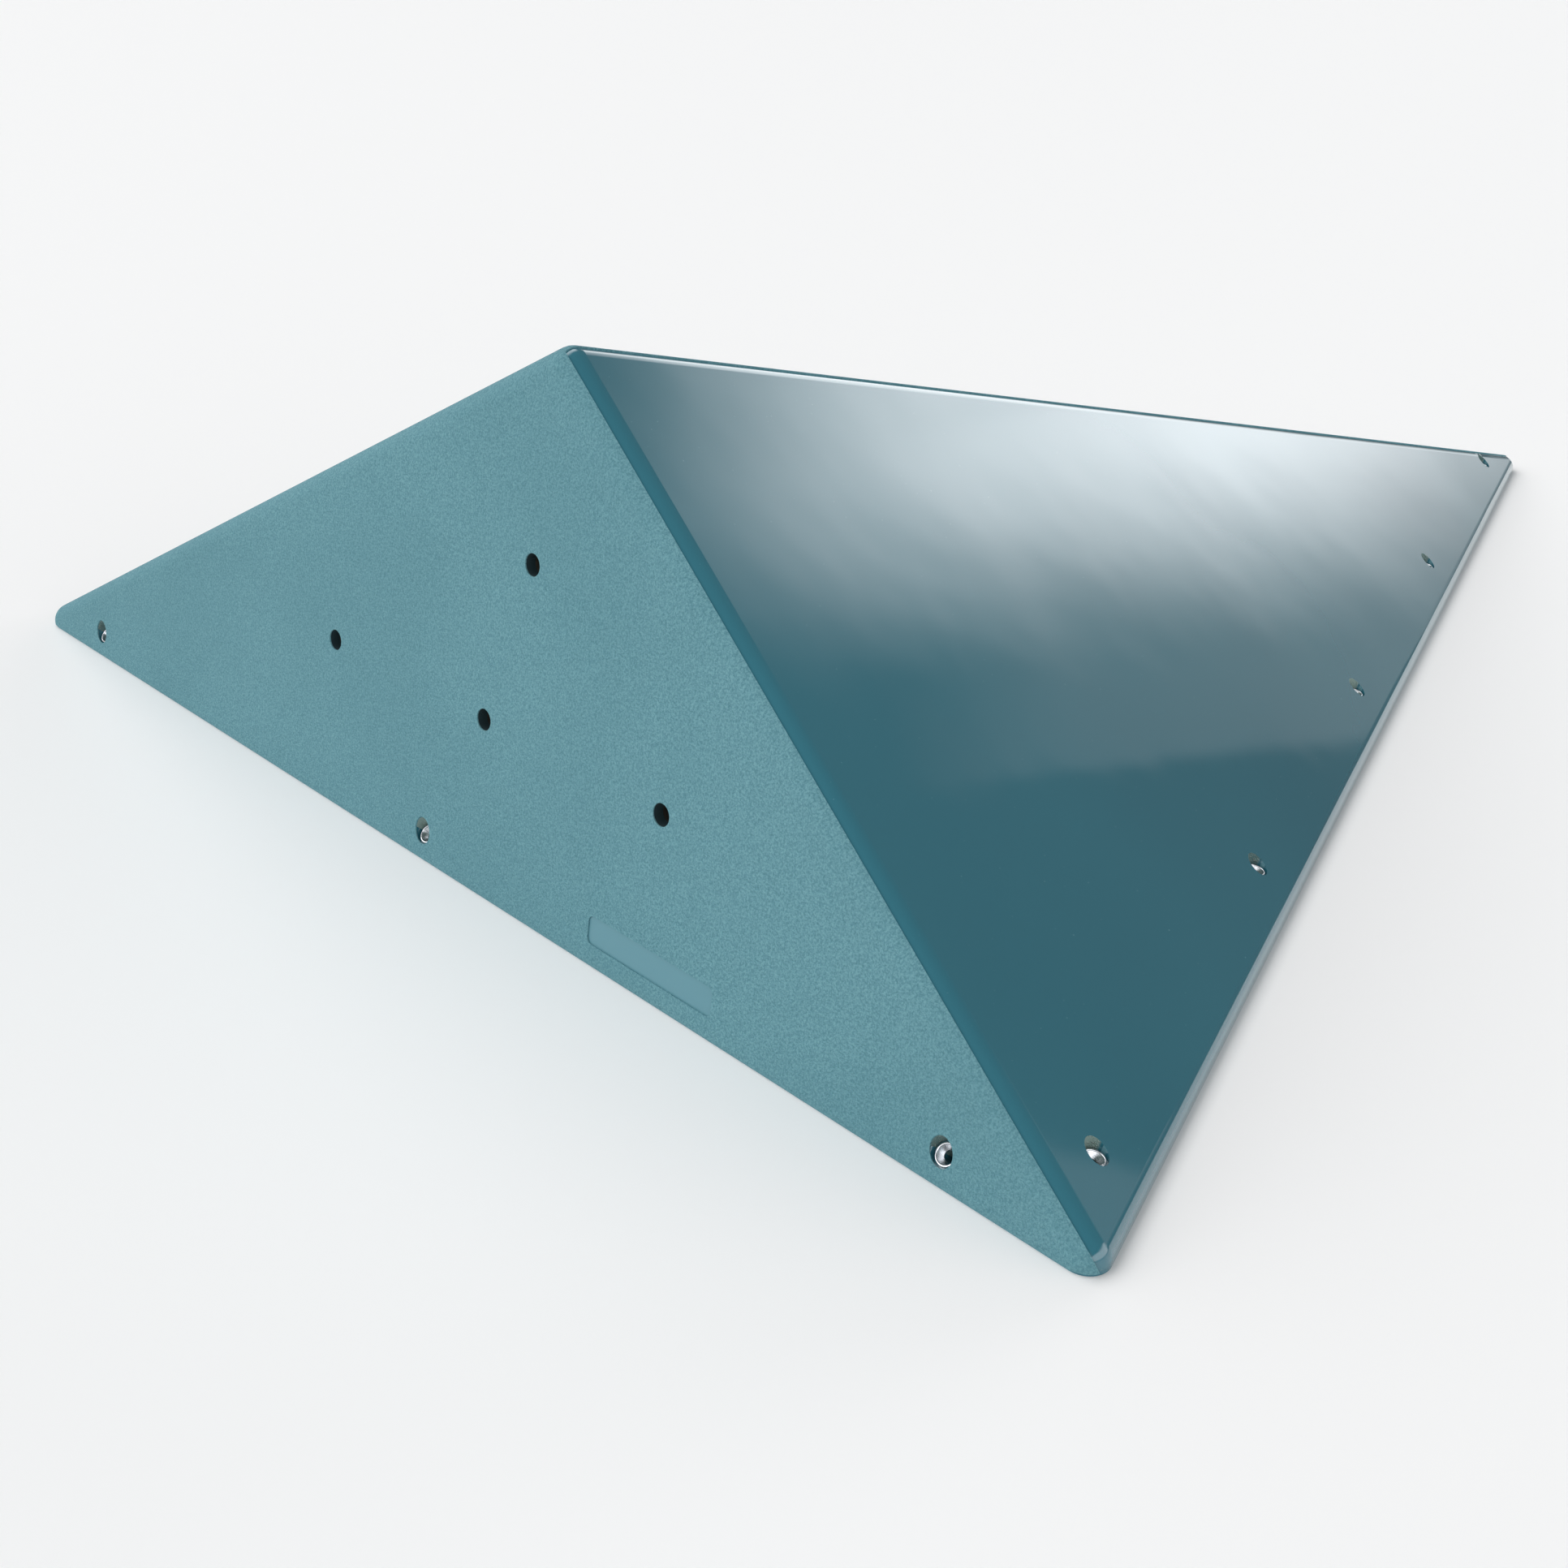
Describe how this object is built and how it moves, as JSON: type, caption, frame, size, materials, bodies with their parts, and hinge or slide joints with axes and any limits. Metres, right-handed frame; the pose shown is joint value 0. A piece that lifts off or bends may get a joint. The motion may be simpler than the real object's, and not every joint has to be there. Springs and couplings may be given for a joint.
{
  "type": "climbing wall volume",
  "caption": "Hollow three-sided moulded climbing volume with an open back, screwed to a wall through recessed washers; its grippy face takes bolt-on holds.",
  "frame": {"origin": "middle of the footprint's bounding box, in the wall plane", "axes": "+Z away from the wall; +X along the rear edge towards the right corner; the front corner points to -Y"},
  "size_m": [1.3858, 0.9264, 0.3188],
  "materials": {
    "gelcoat_laminate": "polished teal gelcoat outside, bare glass laminate inside",
    "grip_texture": "fine sprayed grit, matte teal",
    "washer_steel": "turned stainless steel",
    "lay_up_glass": "hand-laid chopped strand glass, resin rich",
    "plywood": "birch plywood",
    "softwood": "planed softwood",
    "insert_steel": "zinc plated",
    "screw_steel": "yellow zinc plated"
  },
  "bodies": {
    "root": {"left_panel": "gelcoat_laminate", "right_panel": "gelcoat_laminate", "rear_panel": "gelcoat_laminate", "grip_coat": "grip_texture", "left_washer_1": "washer_steel", "left_washer_2": "washer_steel", "left_washer_3": "washer_steel", "right_washer_1": "washer_steel", "right_washer_2": "washer_steel", "right_washer_3": "washer_steel", "right_washer_4": "washer_steel", "right_washer_5": "washer_steel", "rear_washer_1": "washer_steel", "rear_washer_2": "washer_steel", "rear_washer_3": "washer_steel", "rear_washer_4": "washer_steel", "rear_washer_5": "washer_steel", "insert_board": "plywood", "insert_board_glass": "lay_up_glass", "right_stiffener": "softwood", "right_stiffener_glass": "lay_up_glass", "rear_stiffener": "softwood", "rear_stiffener_glass": "lay_up_glass", "hold_insert_1": "insert_steel", "hold_insert_2": "insert_steel", "hold_insert_3": "insert_steel", "hold_insert_4": "insert_steel", "insert_screws_1": "screw_steel", "insert_screws_2": "screw_steel", "insert_screws_3": "screw_steel", "insert_screws_4": "screw_steel"}
  },
  "joints": []
}
